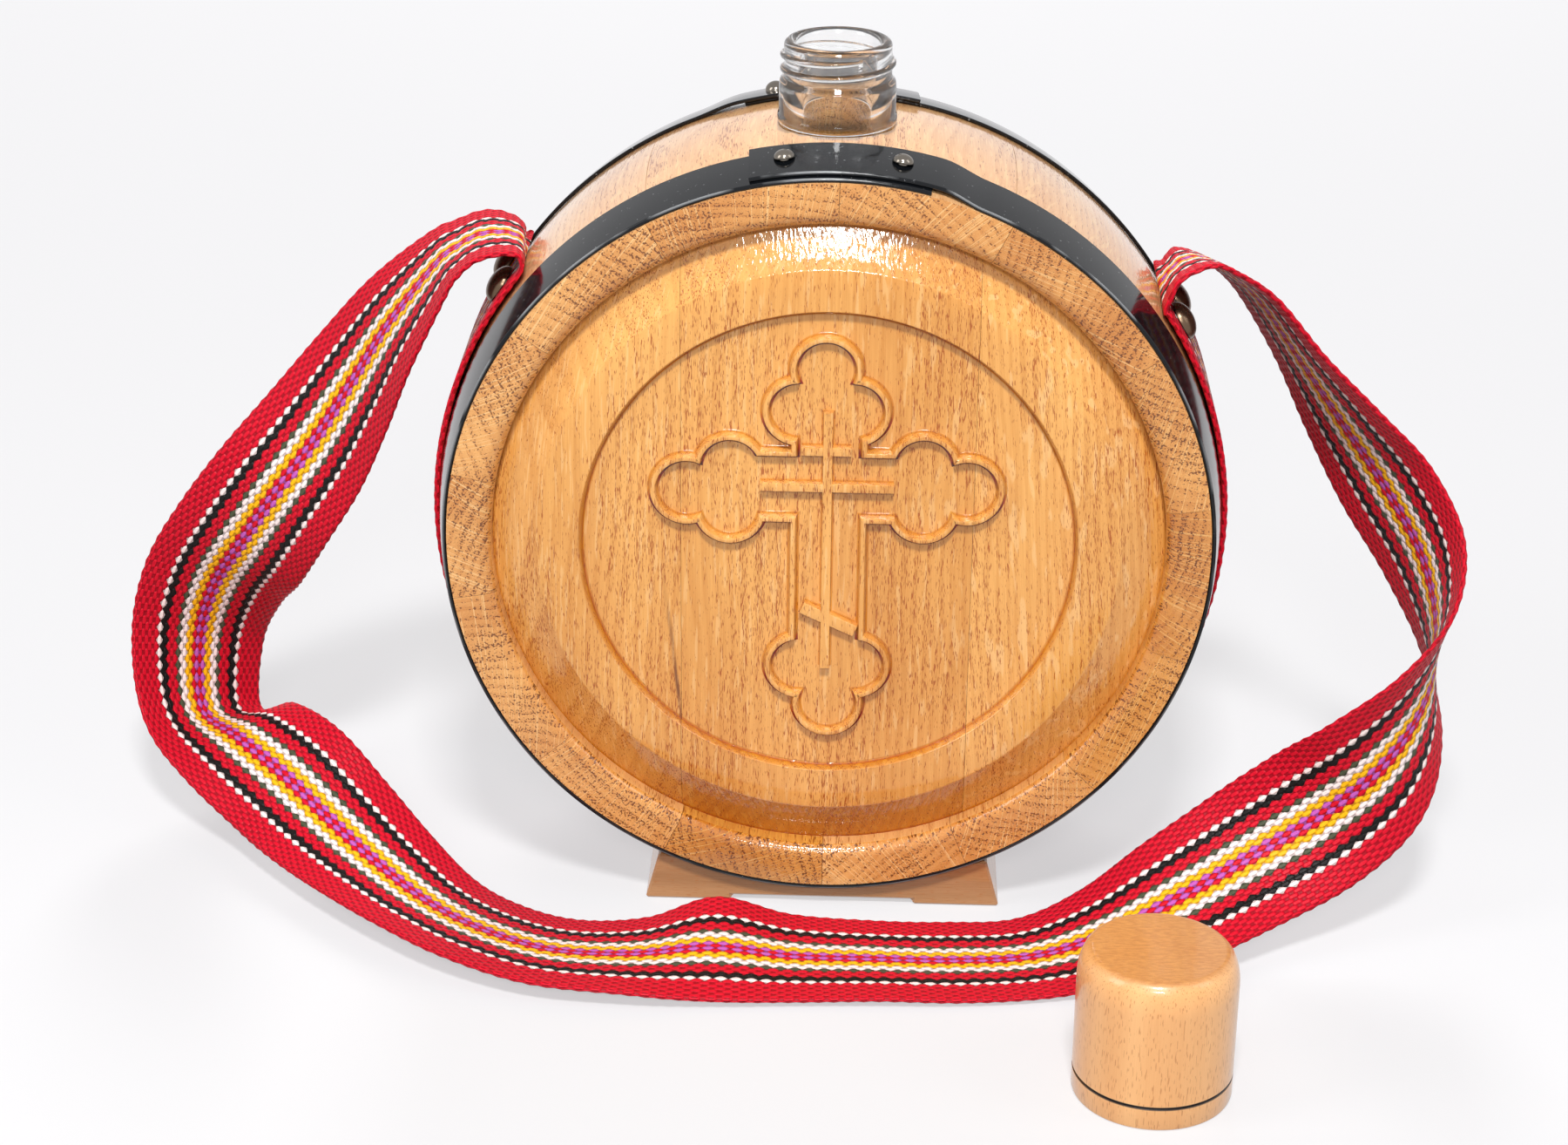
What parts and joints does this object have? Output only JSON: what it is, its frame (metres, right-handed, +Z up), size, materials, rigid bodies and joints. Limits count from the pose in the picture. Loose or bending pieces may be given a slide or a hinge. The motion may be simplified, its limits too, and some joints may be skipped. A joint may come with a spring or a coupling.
{
  "type": "wooden flask with strap",
  "caption": "Small coopered oak barrel flask on a wooden foot, with steel hoops, a glass bottle inside, a woven carrying strap and a turned wooden screw cap standing beside it.",
  "frame": {"origin": "middle of the whole object's box on the surface it stands on", "axes": "+X to the right and +Y to the back as seen facing the round front of the barrel, +Z up"},
  "size_m": [0.3626, 0.1852, 0.2289],
  "materials": {
    "oak_stave": "oiled oak, honey coloured, open grain",
    "oak_head": "oiled oak boards, vertical grain",
    "hoop_steel": "black-coated steel strip, satin",
    "rivet_steel": "black domed rivet",
    "bottle_glass": "clear glass",
    "beech_foot": "oiled beech, fine grain",
    "beech_cap": "turned beech, light lacquer",
    "woven_strap": "woven band, red with yellow, white, black and violet lengthwise stripes",
    "bronze_nail": "antique bronze domed nail head",
    "cap_plastic": "moulded white plastic",
    "cap_liner_foam": "white foam liner"
  },
  "bodies": {
    "flask": {"stave_01": "oak_stave", "stave_02": "oak_stave", "stave_03": "oak_stave", "stave_04": "oak_stave", "stave_05": "oak_stave", "stave_06": "oak_stave", "stave_07": "oak_stave", "stave_08": "oak_stave", "stave_09": "oak_stave", "stave_10": "oak_stave", "stave_11": "oak_stave", "stave_12": "oak_stave", "stave_13": "oak_stave", "stave_14": "oak_stave", "front_head_left": "oak_head", "front_head_middle": "oak_head", "front_head_right": "oak_head", "back_head_left": "oak_head", "back_head_middle": "oak_head", "back_head_right": "oak_head", "front_hoop": "hoop_steel", "back_hoop": "hoop_steel", "front_hoop_rivet_left": "rivet_steel", "front_hoop_rivet_right": "rivet_steel", "back_hoop_rivet_left": "rivet_steel", "back_hoop_rivet_right": "rivet_steel", "glass_bottle": "bottle_glass", "foot": "beech_foot", "strap_band": "woven_strap", "strap_loop": "woven_strap", "strap_nail_left_front": "bronze_nail", "strap_nail_left_back": "bronze_nail", "strap_nail_right_front": "bronze_nail", "strap_nail_right_back": "bronze_nail"},
    "cap_lifter": {"cap_liner": "cap_liner_foam"},
    "cap": {"cap_shell": "beech_cap", "cap_insert": "cap_plastic"}
  },
  "joints": [
    {"name": "cap_lift", "type": "slide", "parent": "flask", "child": "cap_lifter", "axis": [0, 0, 1], "range_m": [0, 0.25]},
    {"name": "cap_turn", "type": "hinge", "parent": "cap_lifter", "child": "cap", "pos_m": [0.0984, -0.0728, 0.01], "axis": [0, 0, 1], "continuous": true}
  ]
}
